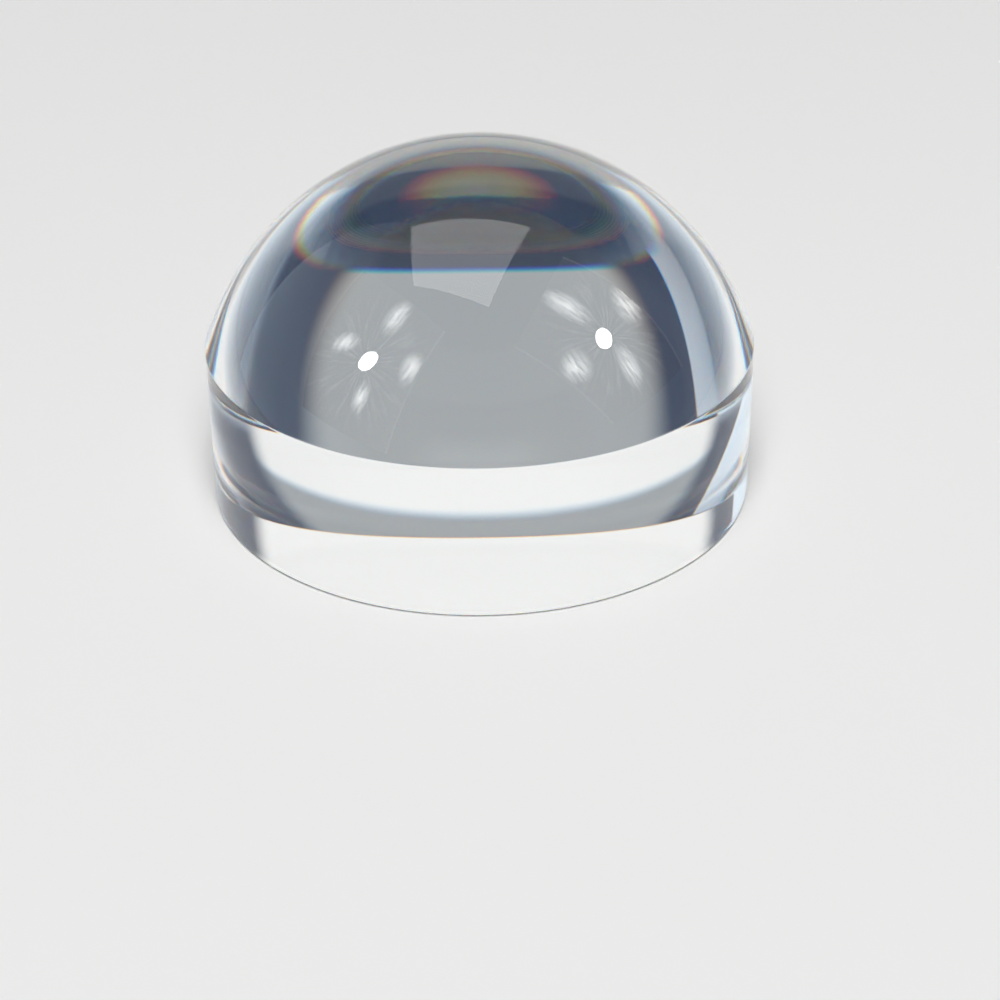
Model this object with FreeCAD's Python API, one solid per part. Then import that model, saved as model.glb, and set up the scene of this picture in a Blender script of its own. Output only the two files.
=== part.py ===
"""Dome magnifier, in millimetres: one clear piece, a spherical dome on a straight round foot.

The base is polished and slightly hollow, and stands on a narrow flat ring round its rim. The origin is the
centre of that ring, on the surface it stands on, and +Z is the optical axis.
"""

import FreeCAD, Part
import math
import os

# Driving dimensions
FOOT_DIAMETER = 80.0
FOOT_HEIGHT = 23.2
# The dome is a little less than half a ball: its radius is this much more than the foot's
DOME_RADIUS_EXTRA = 2.4
SHOULDER_ROUND = 0.9
BASE_BEVEL = 0.25
RING_WIDTH = 2.0
HOLLOW_DEPTH = 1.8

# What follows from them
FOOT_RADIUS = FOOT_DIAMETER / 2
DOME_RADIUS = FOOT_RADIUS + DOME_RADIUS_EXTRA
DOME_CENTRE_HEIGHT = FOOT_HEIGHT - math.sqrt(DOME_RADIUS**2 - FOOT_RADIUS**2)
OVERALL_HEIGHT = DOME_CENTRE_HEIGHT + DOME_RADIUS
HOLLOW_RADIUS = FOOT_RADIUS - RING_WIDTH


def section_point(radius, height):
    """A point of the half section, which lies in the XZ plane."""
    return FreeCAD.Vector(radius, 0, height)


def hollow_middle():
    """The point half way along the hollow's shallow arc, from the axis to the ring."""
    ball_radius = (HOLLOW_RADIUS**2 + HOLLOW_DEPTH**2) / (2 * HOLLOW_DEPTH)
    half_angle = math.asin(HOLLOW_RADIUS / ball_radius) / 2
    return section_point(
        ball_radius * math.sin(half_angle),
        HOLLOW_DEPTH - ball_radius * (1 - math.cos(half_angle)),
    )


def half_section():
    """One side of the lens, from its axis out: hollow, flat ring, straight wall and dome."""
    centre = section_point(0, HOLLOW_DEPTH)
    hollow_rim = section_point(HOLLOW_RADIUS, 0)
    base_rim = section_point(FOOT_RADIUS, 0)
    shoulder = section_point(FOOT_RADIUS, FOOT_HEIGHT)
    top = section_point(0, OVERALL_HEIGHT)

    # The dome's middle point, half way round its arc from the shoulder to the top
    shoulder_angle = math.atan2(FOOT_HEIGHT - DOME_CENTRE_HEIGHT, FOOT_RADIUS)
    middle_angle = (shoulder_angle + math.pi / 2) / 2
    middle = section_point(
        DOME_RADIUS * math.cos(middle_angle),
        DOME_CENTRE_HEIGHT + DOME_RADIUS * math.sin(middle_angle),
    )

    edges = [
        Part.Arc(centre, hollow_middle(), hollow_rim).toShape(),
        Part.makeLine(hollow_rim, base_rim),
        Part.makeLine(base_rim, shoulder),
        Part.Arc(shoulder, middle, top).toShape(),
        Part.makeLine(top, centre),
    ]
    return Part.Face(Part.Wire(edges))


def rings(solid):
    """The edges of the solid that run all the way round it, the lowest first."""
    closed = [edge for edge in solid.Edges if edge.isClosed() and not edge.Degenerated]
    return sorted(closed, key=lambda ring: ring.CenterOfMass.z)


def dome_lens():
    """The whole lens, turned about its optical axis, with its two edges eased."""
    blank = half_section().revolve(FreeCAD.Vector(0, 0, 0), FreeCAD.Vector(0, 0, 1), 360)
    shoulder_ring = rings(blank)[-1]
    rounded = blank.makeFillet(SHOULDER_ROUND, [shoulder_ring])
    # The two lowest edges bound the flat ring, and the longer one is its outside
    base_ring = max(rings(rounded)[:2], key=lambda ring: ring.Length)
    return rounded.makeChamfer(BASE_BEVEL, [base_ring])


def main():
    lens = dome_lens()
    os.makedirs("parts", exist_ok=True)
    lens.exportStep("parts/dome_lens.step")
    box = lens.optimalBoundingBox()
    print(f"dome_lens: {len(lens.Solids)} solid, valid {lens.isValid()}, {lens.Volume:.1f} mm3")
    print(f"{box.XLength:.2f} x {box.YLength:.2f} x {box.ZLength:.2f} mm, dome radius {DOME_RADIUS:.2f} mm")


main()
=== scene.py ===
"""Dome magnifier: the looks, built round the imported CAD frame.

Everything is in metres, in the frame of the CAD: the origin is the centre of the ring that the lens stands
on, +Z is its optical axis, and the camera stands on the -Y side. Colours are linear, and 1 is white.
"""

import bpy
import math
from mathutils import Matrix, Vector


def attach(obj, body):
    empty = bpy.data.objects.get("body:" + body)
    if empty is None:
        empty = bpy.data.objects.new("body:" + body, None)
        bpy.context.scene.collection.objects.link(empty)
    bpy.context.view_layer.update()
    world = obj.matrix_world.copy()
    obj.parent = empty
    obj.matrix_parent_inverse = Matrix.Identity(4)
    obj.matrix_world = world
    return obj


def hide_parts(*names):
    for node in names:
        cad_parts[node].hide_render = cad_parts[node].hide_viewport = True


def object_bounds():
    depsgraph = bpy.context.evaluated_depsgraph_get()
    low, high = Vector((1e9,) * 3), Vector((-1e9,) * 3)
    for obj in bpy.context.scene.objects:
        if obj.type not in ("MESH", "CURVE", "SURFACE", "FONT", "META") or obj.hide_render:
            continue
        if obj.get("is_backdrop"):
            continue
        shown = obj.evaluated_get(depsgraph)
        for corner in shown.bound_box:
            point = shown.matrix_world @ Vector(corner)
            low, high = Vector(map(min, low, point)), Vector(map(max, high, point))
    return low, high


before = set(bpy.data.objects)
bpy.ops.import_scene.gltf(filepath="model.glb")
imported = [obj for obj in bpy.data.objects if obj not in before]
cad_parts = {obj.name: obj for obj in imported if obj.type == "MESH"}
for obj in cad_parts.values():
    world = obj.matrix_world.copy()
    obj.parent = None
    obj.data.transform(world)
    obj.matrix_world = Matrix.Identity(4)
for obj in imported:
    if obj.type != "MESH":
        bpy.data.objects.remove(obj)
cad_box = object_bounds()

# Lens, with the sizes of the CAD part
FOOT_RADIUS = 0.040
FOOT_HEIGHT = 0.0232
DOME_RADIUS = 0.0424
SHOULDER_ROUND = 0.0009
BASE_BEVEL = 0.00025
HOLLOW_RADIUS = 0.038
HOLLOW_DEPTH = 0.0018
DOME_CENTRE_HEIGHT = FOOT_HEIGHT - math.sqrt(DOME_RADIUS**2 - FOOT_RADIUS**2)

# Mesh of the lens: steps round its axis, and along each part of its section
TURN_STEPS = 320
HOLLOW_STEPS = 60
WALL_STEPS = 24
SHOULDER_STEPS = 16
DOME_STEPS = 96
SHARP_ANGLE = math.radians(4)

# Clear acrylic. Each band of the light has a share of the IOR's spread, and their colours add up to white
ACRYLIC_IOR = 1.495
IOR_SPREAD = 0.018
WHITE = (1, 1, 1, 1)
LIGHT_BANDS = (
    (0.00, (0.06, 0.32, 0.06, 1)),
    (-0.50, (0.38, 0.00, 0.00, 1)),
    (-0.33, (0.34, 0.08, 0.00, 1)),
    (-0.17, (0.20, 0.26, 0.00, 1)),
    (0.17, (0.00, 0.24, 0.22, 1)),
    (0.33, (0.00, 0.10, 0.32, 1)),
    (0.50, (0.02, 0.00, 0.40, 1)),
)
# Its polish is very slightly wavy, and has hairline marks where the noise passes this range
WAVE_SCALE = 35
WAVE_DETAIL = 1
WAVE_HEIGHT = 0.000006
HAIR_TURN = (0.5, 0.3, 0.9)
HAIR_SCALE = (2200, 60, 60)
HAIR_DETAIL = 0
HAIR_RANGE = (0.74, 0.80)
HAIR_ROUGHNESS = 0.05

# Camera, fitted to the outline of the lens in the photograph
CAMERA_AIM_HEIGHT = 0.024
CAMERA_DISTANCE = 0.359
CAMERA_ELEVATION = math.radians(26.14)
CAMERA_YAW = math.radians(0.490)
CAMERA_PITCH = math.radians(30.124)
CAMERA_ROLL = math.radians(-0.520)
FOCAL_LENGTH_MM = 88.2
SENSOR_WIDTH_MM = 36.0

# Floor, a hair below the lens, and the background beyond it
FLOOR_SIZE = 12.0
FLOOR_DROP = 0.00015
FLOOR_COLOUR = (0.87, 0.87, 0.865, 1)
FLOOR_PATCH_COLOUR = (0.85, 0.85, 0.845, 1)
FLOOR_PATCH_SCALE = 4
FLOOR_PATCH_DETAIL = 2
FLOOR_ROUGHNESS = 0.9
FLOOR_SPECULAR = 0.1
BACKGROUND_COLOUR = (0.84, 0.84, 0.835, 1)

# Light on the floor. Lamps stand at azimuths (0 is +Y, and turns go towards +X) and elevations in degrees
OVERHEAD_LAMP = (180.0, 78.0)
OVERHEAD_SIZE = 1.4
OVERHEAD_POWER = 66.0
FRONT_LAMP = (180.0, 52.0)
FRONT_SIZE = 2.1
FRONT_POWER = 106.0
FLOOR_LAMP_DISTANCE = 4.0
AMBIENT_COLOUR = (0.050, 0.051, 0.052, 1)
# Lamps don't reach the floor through the lens. The world's light does, from where a ray's Z is in this range
THROUGH_COLOUR = (1.50, 1.50, 1.49, 1)
THROUGH_RISE = (0.84, 0.97)

# The room that the lens shows, in azimuths and elevations. A pair is where a thing begins to show and where
# it shows fully, and turned is the azimuth to either side. First the dark room, its front and its ceiling
DARK_COLOUR = (0.045, 0.060, 0.100, 1)
FRONT_COLOUR = (0.030, 0.048, 0.090, 1)
FRONT_TURNED = (80, 130)
CEILING_COLOUR = (0.060, 0.075, 0.105, 1)
CEILING_RISE = (52, 59)
# A grey band high behind the camera
REAR_COLOUR = (0.270, 0.290, 0.310, 1)
REAR_TURNED = (125, 140)
REAR_RISE = (31, 36)
REAR_FALL = (60, 50)
# The pale table, and its brighter part in front of the camera
TABLE_COLOUR = (0.480, 0.510, 0.540, 1)
TABLE_TURNED = (140, 110)
TABLE_FALL = (18, 12)
TABLE_FRONT_COLOUR = (0.930, 1.000, 1.050, 1)
TABLE_FRONT_TURNED = (148, 170)
TABLE_FRONT_FALL = (24, 12)
# The wall behind the lens, lit in a wide round patch whose edge is a range of its squared reach
WALL_LOW_COLOUR = (0.340, 0.365, 0.380, 1)
WALL_HIGH_COLOUR = (0.400, 0.420, 0.425, 1)
WALL_RISE = (34, 43)
PATCH_CENTRE = (-1.0, 20.0)
PATCH_REACH = (38.5, 26.0)
PATCH_FALL = (1.30, 0.90)
# The white paper before it, up to a level edge. The foot shows that edge higher up than the dome mirrors it
PAPER_COLOUR = (0.880, 0.890, 0.880, 1)
PAPER_TOP = math.radians(31.0)
PAPER_TOP_MIRRORED = math.radians(21.0)
PAPER_EDGE = (-0.035, 0.025)
# The pale sides. The left one ends at a sharp edge, which leans by so many degrees for each degree up
LEFT_LOW_COLOUR = (0.780, 0.930, 1.050, 1)
LEFT_HIGH_COLOUR = (0.430, 0.470, 0.530, 1)
LEFT_RISE = (15, 52)
LEFT_LEAN = 0.45
LEFT_START = (-145, -120)
LEFT_END = (-62.4, -63.6)
RIGHT_COLOUR = (0.330, 0.400, 0.500, 1)
RIGHT_START = (54, 76)
RIGHT_END = (145, 125)

# The soft panel that the dome mirrors overhead, with its corners' azimuths and elevations
PANEL_CORNERS = ((-41, 60.5), (39, 65.3), (170, 71), (-104, 67.5))
PANEL_HEIGHT = 1.3
PANEL_COLOUR = (2.6, 2.6, 2.6, 1)

# The side lamps that the dome mirrors. Each is a foil-lined box with a bright rim on two sides, and shows a
# bulb and the bulb's long glints in its four walls. An oval is x, y, half length, half width and turn
LEFT_LAMP = (-121.0, 37.8)
RIGHT_LAMP = (108.1, 40.6)
SIDE_LAMP_DISTANCE = 1.0
LAMP_BOX = ((-0.33, -0.45), (0.43, -0.48), (0.31, 0.50), (-0.54, 0.45))
BOX_GLOW = 0.25
RIM_WIDTH = 0.020
RIM_COLOUR = (0.7, 0.7, 0.7, 1)
BULB_GLOW = 45.0
BULB_SOFT_FROM = 0.9
LEFT_BULB = (0.011, 0.020, 0.074, 0.053, 65)
RIGHT_BULB = (-0.024, 0.010, 0.067, 0.059, 21)
GLINT_GLOW = 12.0
GLINT_SOFT_FROM = 0.0
LEFT_GLINTS = (
    (-0.023, 0.342, 0.170, 0.092, 97),
    (-0.213, 0.030, 0.130, 0.076, 33),
    (0.299, 0.137, 0.150, 0.100, 100),
    (0.092, -0.193, 0.135, 0.068, 94),
)
RIGHT_GLINTS = (
    (-0.029, 0.309, 0.225, 0.106, 99),
    (-0.320, 0.019, 0.150, 0.135, 168),
    (0.314, 0.031, 0.165, 0.135, 31),
    (0.001, -0.212, 0.175, 0.096, 85),
)
# Creases in the foil, with their scale along each axis: across the glints, and as streaks round the bulb
CREASE_DETAIL = 3
GLINT_CREASES = (42, 9, 1)
GLINT_CREASE_RANGE = (0.30, 0.62)
GLINT_CREASE_DEPTH = 0.75
STREAK_GLOW = 1.5
STREAK_CREASES = (9, 5, 1)
STREAK_CREASE_RANGE = (0.46, 0.72)
STREAK_FADE = (0.55, 0.10)

# Light near the rim of the dome is mirrored many times inside it
GLOSSY_BOUNCES = 12
MAX_BOUNCES = 16


def new_mesh(name, points, faces, *materials):
    """A new mesh, with its materials."""
    mesh = bpy.data.meshes.new(name)
    mesh.from_pydata(points, [], faces)
    for material in materials:
        mesh.materials.append(material)
    return mesh


def new_object(name, data):
    """A new object in the scene, for a mesh, a light or a camera."""
    piece = bpy.data.objects.new(name, data)
    bpy.context.scene.collection.objects.link(piece)
    return piece


# Lens
def arc(centre, radius, start, end, steps):
    """Points (distance from the axis, height) along an arc, without its first one."""
    points = []
    for step in range(1, steps + 1):
        angle = start + (end - start) * step / steps
        points.append((centre[0] + radius * math.cos(angle), centre[1] + radius * math.sin(angle)))
    return points


def wall_points(low, high):
    """Points up the foot's wall, closer together near its two ends, without the first one."""
    points = []
    for step in range(1, WALL_STEPS + 1):
        share = (1 - math.cos(math.pi * step / WALL_STEPS)) / 2
        points.append((FOOT_RADIUS, low + (high - low) * share))
    return points


def hollow_points():
    """Points out along the hollow of the base, from beside its centre to the ring it stands on."""
    ball_radius = (HOLLOW_RADIUS**2 + HOLLOW_DEPTH**2) / (2 * HOLLOW_DEPTH)
    ball_height = HOLLOW_DEPTH - ball_radius
    rim = math.asin(HOLLOW_RADIUS / ball_radius)
    return arc((0, ball_height), ball_radius, math.pi / 2, math.pi / 2 - rim, HOLLOW_STEPS)


def lens_section():
    """The section of the lens from beside the base's centre, out and up, to beside its top."""
    round_radius = FOOT_RADIUS - SHOULDER_ROUND
    round_height = DOME_CENTRE_HEIGHT + math.sqrt((DOME_RADIUS - SHOULDER_ROUND) ** 2 - round_radius**2)
    dome_start = math.atan2(round_height - DOME_CENTRE_HEIGHT, round_radius)

    section = hollow_points()
    section += [(FOOT_RADIUS - BASE_BEVEL, 0.0), (FOOT_RADIUS, BASE_BEVEL)]
    section += wall_points(BASE_BEVEL, round_height)
    section += arc((round_radius, round_height), SHOULDER_ROUND, 0, dome_start, SHOULDER_STEPS)
    section += arc((0, DOME_CENTRE_HEIGHT), DOME_RADIUS, dome_start, math.pi / 2, DOME_STEPS)[:-1]
    return section


def turned_points(section):
    """The points of the section, ring by ring about the axis."""
    points = []
    for radius, height in section:
        for step in range(TURN_STEPS):
            angle = 2 * math.pi * step / TURN_STEPS
            points.append((radius * math.cos(angle), radius * math.sin(angle), height))
    return points


def lens_mesh():
    """The closed surface of the lens, turned about its axis."""
    section = lens_section()
    points = turned_points(section)
    base_centre = len(points)
    top_centre = base_centre + 1
    points += [(0, 0, HOLLOW_DEPTH), (0, 0, DOME_CENTRE_HEIGHT + DOME_RADIUS)]

    faces = []
    last_ring = (len(section) - 1) * TURN_STEPS
    for step in range(TURN_STEPS):
        following = (step + 1) % TURN_STEPS
        faces.append((base_centre, following, step))
        for ring in range(0, last_ring, TURN_STEPS):
            above = ring + TURN_STEPS
            faces.append((ring + step, ring + following, above + following, above + step))
        faces.append((last_ring + step, last_ring + following, top_centre))

    mesh = new_mesh("clear_dome", points, faces, acrylic_material())
    mesh.shade_smooth()
    mesh.set_sharp_from_angle(angle=SHARP_ANGLE)
    return mesh


# Nodes
def add_node(tree, kind, **settings):
    """A new node of that kind, with its settings."""
    node = tree.nodes.new(kind)
    for name, value in settings.items():
        setattr(node, name, value)
    return node


def give(tree, socket, value):
    """Gives a socket its value: a plain one, or another socket that is linked to it."""
    if isinstance(value, bpy.types.NodeSocket):
        tree.links.new(value, socket)
    else:
        socket.default_value = value


def maths(tree, operation, *values):
    """A number socket worked out from up to three values, each a plain number or a socket."""
    node = add_node(tree, "ShaderNodeMath", operation=operation)
    for socket, value in zip(node.inputs, values):
        give(tree, socket, value)
    return node.outputs[0]


def smooth_share(tree, value, span):
    """A socket that turns smoothly from 0 where the span begins to 1 where it ends. It may run downwards."""
    share = add_node(tree, "ShaderNodeMapRange", interpolation_type="SMOOTHSTEP")
    give(tree, share.inputs["Value"], value)
    give(tree, share.inputs["From Min"], span[0])
    give(tree, share.inputs["From Max"], span[1])
    return share.outputs["Result"]


def product(tree, first, second):
    """A socket for the product of two values."""
    return maths(tree, "MULTIPLY", first, second)


def mixed_colour(tree, share, first, second):
    """A colour socket between two colours, each a plain colour or a socket."""
    mix = add_node(tree, "ShaderNodeMix", data_type="RGBA")
    # Several sockets of this node share a name: numbers 6 and 7 take its colours, and 2 gives the mix
    for number, value in ((0, share), (6, first), (7, second)):
        give(tree, mix.inputs[number], value)
    return mix.outputs[2]


def separated(tree, vector):
    """The X, Y and Z sockets of a vector."""
    node = add_node(tree, "ShaderNodeSeparateXYZ")
    give(tree, node.inputs[0], vector)
    return node.outputs[0], node.outputs[1], node.outputs[2]


def length(tree, vector):
    """A socket for the length of a vector."""
    node = add_node(tree, "ShaderNodeVectorMath", operation="LENGTH")
    give(tree, node.inputs[0], vector)
    return node.outputs["Value"]


def mapped(tree, place, kind="POINT", **values):
    """The place as a Mapping node of that kind gives it, with the node's Location, Rotation and Scale."""
    mapping = add_node(tree, "ShaderNodeMapping", vector_type=kind)
    give(tree, mapping.inputs["Vector"], place)
    for name, value in values.items():
        give(tree, mapping.inputs[name.title()], value)
    return mapping.outputs["Vector"]


def noise(tree, place, scale, detail):
    """A socket for smooth noise at that place."""
    texture = add_node(tree, "ShaderNodeTexNoise")
    give(tree, texture.inputs["Vector"], place)
    give(tree, texture.inputs["Scale"], scale)
    give(tree, texture.inputs["Detail"], detail)
    return texture.outputs["Fac"]


def place_of(tree, kind):
    """A socket for the place on a surface, as Object coordinates, or in the world, as Generated ones."""
    return add_node(tree, "ShaderNodeTexCoord").outputs[kind]


def joined_shader(tree, kind, first, second, share=None):
    """The output of an Add Shader of two shaders or, with the second one's share, of a Mix Shader."""
    join = add_node(tree, kind)
    if share is not None:
        give(tree, join.inputs[0], share)
    give(tree, join.inputs[-2], first)
    give(tree, join.inputs[-1], second)
    return join.outputs[0]


def show(tree, kind, shader):
    """Links the shader to a new output node of that kind."""
    give(tree, add_node(tree, kind).inputs["Surface"], shader)


# Materials
def new_material(name):
    """A new material with an empty node tree."""
    material = bpy.data.materials.new(name)
    material.use_nodes = True
    material.node_tree.nodes.clear()
    return material


def wavy_normal(tree, place):
    """A socket for the normal of the polished surface, which is very slightly wavy."""
    bump = add_node(tree, "ShaderNodeBump")
    give(tree, bump.inputs["Distance"], WAVE_HEIGHT)
    give(tree, bump.inputs["Height"], noise(tree, place, WAVE_SCALE, WAVE_DETAIL))
    return bump.outputs["Normal"]


def hairline_roughness(tree, place):
    """A socket for the roughness of the polished surface: none, but a little in faint hairline marks."""
    marks = noise(tree, mapped(tree, place, rotation=HAIR_TURN, scale=HAIR_SCALE), 1, HAIR_DETAIL)
    return product(tree, smooth_share(tree, marks, HAIR_RANGE), HAIR_ROUGHNESS)


def polished_shader(tree, kind, surface, colour=WHITE, ior=None):
    """The output of a Glass, Refraction or Glossy node, for a surface with that roughness and normal."""
    roughness, normal = surface
    shader = add_node(tree, kind)
    give(tree, shader.inputs["Color"], colour)
    give(tree, shader.inputs["Roughness"], roughness)
    give(tree, shader.inputs["Normal"], normal)
    if ior is not None:
        give(tree, shader.inputs["IOR"], ior)
    return shader.outputs[0]


def bent_bands(tree, surface):
    """The light that enters the acrylic, each band bent by its own IOR, which makes coloured fringes."""
    bent = None
    for shift, colour in LIGHT_BANDS:
        ior = ACRYLIC_IOR + IOR_SPREAD * shift
        band = polished_shader(tree, "ShaderNodeBsdfRefraction", surface, colour, ior)
        bent = band if bent is None else joined_shader(tree, "ShaderNodeAddShader", bent, band)
    return bent


def acrylic_material():
    """Polished clear acrylic. Its outside mirrors in white, and light that leaves it isn't split again."""
    material = new_material("clear_acrylic")
    tree = material.node_tree
    place = place_of(tree, "Object")
    normal = wavy_normal(tree, place)
    surface = (hairline_roughness(tree, place), normal)

    fresnel = add_node(tree, "ShaderNodeFresnel")
    give(tree, fresnel.inputs["IOR"], ACRYLIC_IOR)
    give(tree, fresnel.inputs["Normal"], normal)
    bent = bent_bands(tree, surface)
    mirror = polished_shader(tree, "ShaderNodeBsdfGlossy", surface)
    entering = joined_shader(tree, "ShaderNodeMixShader", bent, mirror, fresnel.outputs[0])

    leaving = polished_shader(tree, "ShaderNodeBsdfGlass", surface, ior=ACRYLIC_IOR)
    inside = add_node(tree, "ShaderNodeNewGeometry").outputs["Backfacing"]
    both = joined_shader(tree, "ShaderNodeMixShader", entering, leaving, inside)
    show(tree, "ShaderNodeOutputMaterial", both)
    return material


def floor_material():
    """A plain pale sheet, very slightly uneven in tone."""
    material = bpy.data.materials.new("floor_paper")
    material.use_nodes = True
    tree = material.node_tree
    patches = noise(tree, place_of(tree, "Object"), FLOOR_PATCH_SCALE, FLOOR_PATCH_DETAIL)
    shader = tree.nodes["Principled BSDF"]
    give(tree, shader.inputs["Base Color"], mixed_colour(tree, patches, FLOOR_COLOUR, FLOOR_PATCH_COLOUR))
    give(tree, shader.inputs["Roughness"], FLOOR_ROUGHNESS)
    give(tree, shader.inputs["Specular IOR Level"], FLOOR_SPECULAR)
    return material


def glow_material(name, colour, *facts):
    """A material that only glows, in a plain colour or in the socket that colour(tree, *facts) makes."""
    material = new_material(name)
    tree = material.node_tree
    glow = add_node(tree, "ShaderNodeEmission")
    give(tree, glow.inputs["Strength"], 1)
    give(tree, glow.inputs["Color"], colour(tree, *facts) if callable(colour) else colour)
    show(tree, "ShaderNodeOutputMaterial", glow.outputs[0])
    return material


def oval_share(tree, place, oval, soft_from):
    """A socket that is 1 in an oval, and turns smoothly to 0 from that share of its reach to its outline."""
    x, y, half_length, half_width, turn = oval
    turned = (0, 0, math.radians(turn))
    scale = (half_length, half_width, 1)
    across = mapped(tree, place, "TEXTURE", location=(x, y, 0), rotation=turned, scale=scale)
    return smooth_share(tree, length(tree, across), (1, soft_from))


def creases(tree, place, scale, span):
    """A socket that varies between 0 and 1 in creases, the finer along an axis the larger its scale."""
    return smooth_share(tree, noise(tree, mapped(tree, place, scale=scale), 1, CREASE_DETAIL), span)


def streaks_from_middle(tree, place):
    """A socket for thin streaks that run out from the middle of the face, and fade on the way."""
    x, y, _ = separated(tree, place)
    reach = length(tree, place)
    polar = add_node(tree, "ShaderNodeCombineXYZ")
    give(tree, polar.inputs["X"], maths(tree, "ARCTAN2", y, x))
    give(tree, polar.inputs["Y"], reach)
    streaks = creases(tree, polar.outputs["Vector"], STREAK_CREASES, STREAK_CREASE_RANGE)
    return product(tree, streaks, smooth_share(tree, reach, STREAK_FADE))


def lamp_face(tree, bulb, glints):
    """A socket for the glow in a lamp: its bulb, the long glints in the creased foil, and faint streaks."""
    place = place_of(tree, "Object")
    glow = product(tree, streaks_from_middle(tree, place), STREAK_GLOW)
    crease = creases(tree, place, GLINT_CREASES, GLINT_CREASE_RANGE)
    crease = maths(tree, "MULTIPLY_ADD", crease, GLINT_CREASE_DEPTH, 1 - GLINT_CREASE_DEPTH)
    for oval in glints:
        glint = product(tree, oval_share(tree, place, oval, GLINT_SOFT_FROM), crease)
        glow = maths(tree, "MULTIPLY_ADD", glint, GLINT_GLOW, glow)
    glow = maths(tree, "MULTIPLY_ADD", oval_share(tree, place, bulb, BULB_SOFT_FROM), BULB_GLOW, glow)
    return maths(tree, "ADD", glow, BOX_GLOW)


# Floor, lamps and panel
def direction(azimuth, elevation):
    """The direction at so many degrees from +Y towards +X, and up from the floor."""
    azimuth, elevation = math.radians(azimuth), math.radians(elevation)
    flat = math.cos(elevation)
    return Vector((math.sin(azimuth) * flat, math.cos(azimuth) * flat, math.sin(elevation)))


def facing_lens(where, distance):
    """The placing of something so far away in that direction, with its face to the lens."""
    ray = direction(*where)
    return Matrix.Translation(ray * distance) @ ray.to_track_quat("Z", "Y").to_matrix().to_4x4()


def mirrored_only(card):
    """Leaves the card to be seen in polished surfaces and nowhere else, so that it casts no light."""
    card.visible_camera = False
    card.visible_diffuse = False
    card.visible_transmission = False
    card.visible_shadow = False
    card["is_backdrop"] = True


def make_floor():
    """The plain pale floor."""
    half = FLOOR_SIZE / 2
    corners = [(x * half, y * half, -FLOOR_DROP) for x, y in ((-1, -1), (1, -1), (1, 1), (-1, 1))]
    floor = new_object("floor", new_mesh("floor", corners, [(0, 1, 2, 3)], floor_material()))
    floor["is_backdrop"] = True


def make_floor_lamp(name, where, size, power):
    """A soft lamp that lights the floor, and that the lens doesn't show."""
    data = bpy.data.lights.new(name, "AREA")
    data.size = size
    data.energy = power
    lamp = new_object(name, data)
    lamp.matrix_world = facing_lens(where, FLOOR_LAMP_DISTANCE)
    lamp.visible_glossy = False
    lamp.visible_transmission = False


def make_overhead_panel():
    """The soft panel overhead, whose faint reflection shows near the top of the dome."""
    corners = []
    for azimuth, elevation in PANEL_CORNERS:
        ray = direction(azimuth, elevation)
        corners.append(ray * (PANEL_HEIGHT / ray.z))
    mesh = new_mesh("overhead_panel", corners, [(0, 1, 2, 3)], glow_material("panel_glow", PANEL_COLOUR))
    mirrored_only(new_object("overhead_panel", mesh))


def make_side_lamp(name, where, bulb, glints):
    """The face of a lamp beside the lens and the two rims of its box, as the polished dome mirrors them."""
    outside = [(x + math.copysign(RIM_WIDTH, x), y) for x, y in LAMP_BOX]
    points = [(x, y, 0) for x, y in (*LAMP_BOX, *outside)]
    faces = [(0, 1, 2, 3), (4, 0, 3, 7), (1, 5, 6, 2)]
    inside = glow_material(name, lamp_face, bulb, glints)
    mesh = new_mesh(name, points, faces, inside, glow_material("lamp_rim", RIM_COLOUR))
    for rim in mesh.polygons[1:]:
        rim.material_index = 1
    face = new_object(name, mesh)
    face.matrix_world = facing_lens(where, SIDE_LAMP_DISTANCE)
    mirrored_only(face)


# Room
def within(tree, value, start, end):
    """A socket that is 1 from start to end, each a pair of where it is still 0 and where it is 1."""
    return product(tree, smooth_share(tree, value, start), smooth_share(tree, value, end))


def above_paper(tree, ray):
    """A socket that is 0 on the paper behind the lens and 1 above its level top edge."""
    bent = add_node(tree, "ShaderNodeLightPath").outputs["Is Transmission Ray"]
    mirrored_slope = math.tan(PAPER_TOP_MIRRORED)
    slope = maths(tree, "MULTIPLY_ADD", bent, math.tan(PAPER_TOP) - mirrored_slope, mirrored_slope)
    _, y, z = ray
    return smooth_share(tree, maths(tree, "SUBTRACT", z, product(tree, y, slope)), PAPER_EDGE)


def squared_reach(tree, azimuth, elevation):
    """A socket for how far a direction is from the middle of the lit patch, squared: 1 is its outline."""
    away = []
    for angle, centre, reach in zip((azimuth, elevation), PATCH_CENTRE, PATCH_REACH):
        away.append(maths(tree, "DIVIDE", maths(tree, "SUBTRACT", angle, centre), reach))
    across, up = away
    return maths(tree, "MULTIPLY_ADD", across, across, product(tree, up, up))


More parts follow.
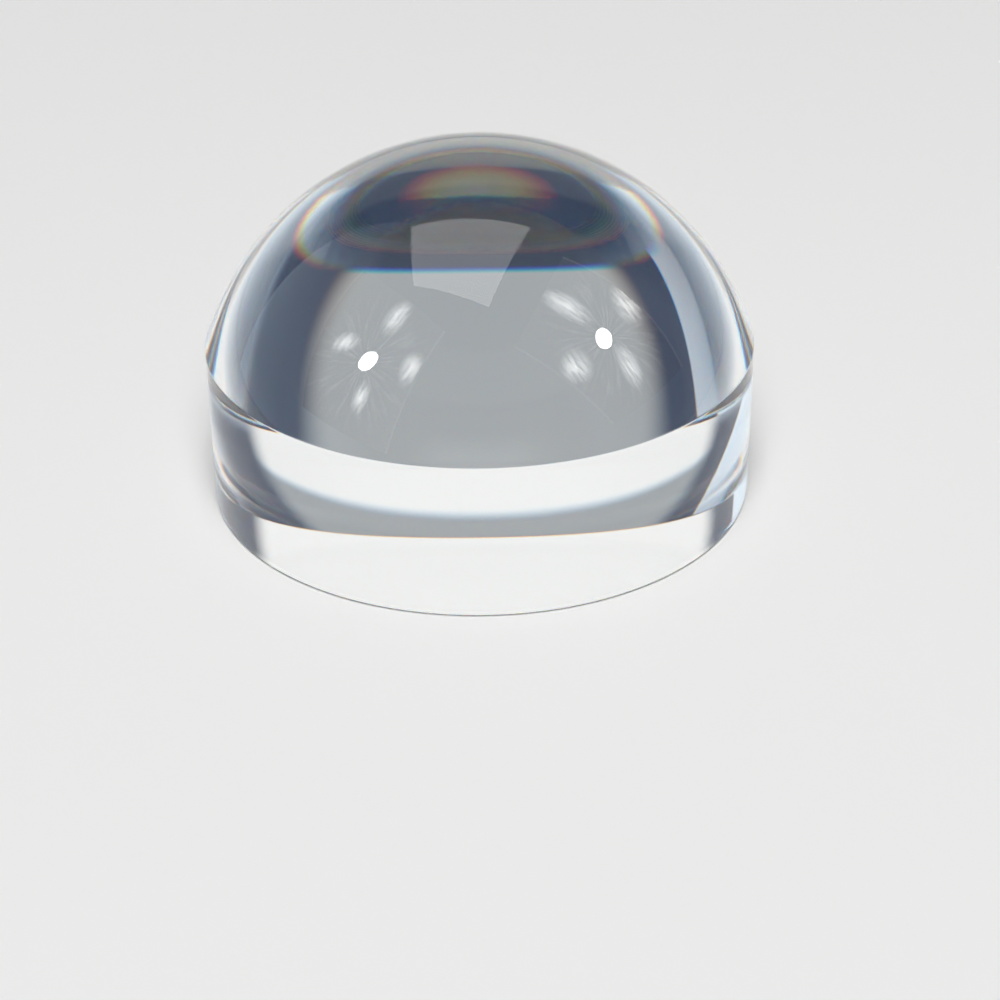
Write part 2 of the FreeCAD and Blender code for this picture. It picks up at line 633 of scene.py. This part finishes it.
def room_colour(tree, ray):
    """A colour socket for what the lens shows of the room in the direction of the ray."""
    x, y, z = ray
    azimuth = product(tree, maths(tree, "ARCTAN2", x, y), math.degrees(1))
    elevation = product(tree, maths(tree, "ARCSINE", z), math.degrees(1))
    turned = maths(tree, "ABSOLUTE", azimuth)
    leaning = maths(tree, "SUBTRACT", azimuth, product(tree, elevation, LEFT_LEAN))

    def corner(rise, side):
        """A socket that is 1 where the direction is both so high and turned so far to a side."""
        return product(tree, smooth_share(tree, elevation, rise), smooth_share(tree, turned, side))

    rear = product(tree, corner(REAR_RISE, REAR_TURNED), smooth_share(tree, elevation, REAR_FALL))
    patch = smooth_share(tree, squared_reach(tree, azimuth, elevation), PATCH_FALL)
    wall_share = smooth_share(tree, elevation, WALL_RISE)
    wall = mixed_colour(tree, wall_share, WALL_LOW_COLOUR, WALL_HIGH_COLOUR)
    backdrop = mixed_colour(tree, above_paper(tree, ray), PAPER_COLOUR, wall)
    left_share = smooth_share(tree, elevation, LEFT_RISE)
    left_side = mixed_colour(tree, left_share, LEFT_LOW_COLOUR, LEFT_HIGH_COLOUR)

    # Each of these lies over what comes before it
    colour = DARK_COLOUR
    for share, shown in (
        (smooth_share(tree, turned, FRONT_TURNED), FRONT_COLOUR),
        (rear, REAR_COLOUR),
        (corner(TABLE_FALL, TABLE_TURNED), TABLE_COLOUR),
        (corner(TABLE_FRONT_FALL, TABLE_FRONT_TURNED), TABLE_FRONT_COLOUR),
        (patch, backdrop),
        (within(tree, leaning, LEFT_START, LEFT_END), left_side),
        (within(tree, azimuth, RIGHT_START, RIGHT_END), RIGHT_COLOUR),
        (smooth_share(tree, elevation, CEILING_RISE), CEILING_COLOUR),
    ):
        colour = mixed_colour(tree, share, colour, shown)
    return colour


def make_surroundings():
    """The world: the room that the lens shows, the light that falls through it, and a plain background."""
    world = bpy.data.worlds.new("studio")
    bpy.context.scene.world = world
    world.use_nodes = True
    tree = world.node_tree
    tree.nodes.clear()
    ray = separated(tree, place_of(tree, "Generated"))
    path = add_node(tree, "ShaderNodeLightPath").outputs

    # In the lens, a ray that began at the camera shows the room, and one from the floor gathers light
    through = mixed_colour(tree, smooth_share(tree, ray[2], THROUGH_RISE), AMBIENT_COLOUR, THROUGH_COLOUR)
    from_floor = maths(tree, "GREATER_THAN", path["Diffuse Depth"], 0.5)
    in_lens = maths(tree, "ADD", path["Is Glossy Ray"], path["Is Transmission Ray"])
    colour = mixed_colour(tree, from_floor, room_colour(tree, ray), through)
    colour = mixed_colour(tree, in_lens, AMBIENT_COLOUR, colour)
    colour = mixed_colour(tree, path["Is Camera Ray"], colour, BACKGROUND_COLOUR)

    background = add_node(tree, "ShaderNodeBackground")
    give(tree, background.inputs["Color"], colour)
    show(tree, "ShaderNodeOutputWorld", background.outputs[0])


# Camera
def make_camera():
    """The camera, in the place and with the lens that fit the photograph's outline."""
    flat = math.cos(CAMERA_ELEVATION) * CAMERA_DISTANCE
    place = Vector((0, -flat, CAMERA_AIM_HEIGHT + math.sin(CAMERA_ELEVATION) * CAMERA_DISTANCE))
    ahead = Vector((
        math.sin(CAMERA_YAW) * math.cos(CAMERA_PITCH),
        math.cos(CAMERA_YAW) * math.cos(CAMERA_PITCH),
        -math.sin(CAMERA_PITCH),
    ))
    right = ahead.cross(Vector((0, 0, 1))).normalized()
    up = right.cross(ahead)
    turn = Matrix((right, up, -ahead)).transposed() @ Matrix.Rotation(CAMERA_ROLL, 3, "Z")
    data = bpy.data.cameras.new("camera")
    data.sensor_width = SENSOR_WIDTH_MM
    data.lens = FOCAL_LENGTH_MM
    camera = new_object("camera", data)
    camera.matrix_world = Matrix.Translation(place) @ turn.to_4x4()
    bpy.context.scene.camera = camera


lens = new_object("clear_dome", lens_mesh())
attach(lens, "root")
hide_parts("dome_lens")

make_floor()
make_overhead_panel()
make_side_lamp("left_lamp", LEFT_LAMP, LEFT_BULB, LEFT_GLINTS)
make_side_lamp("right_lamp", RIGHT_LAMP, RIGHT_BULB, RIGHT_GLINTS)
make_floor_lamp("overhead_lamp", OVERHEAD_LAMP, OVERHEAD_SIZE, OVERHEAD_POWER)
make_floor_lamp("front_lamp", FRONT_LAMP, FRONT_SIZE, FRONT_POWER)
make_surroundings()
make_camera()
bpy.context.scene.view_settings.view_transform = "Standard"
bpy.context.scene.cycles.glossy_bounces = GLOSSY_BOUNCES
bpy.context.scene.cycles.max_bounces = MAX_BOUNCES

sizes = {"cad": cad_box, "visual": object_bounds()}
sizes = {name: [list(corner) for corner in box] for name, box in sizes.items()}
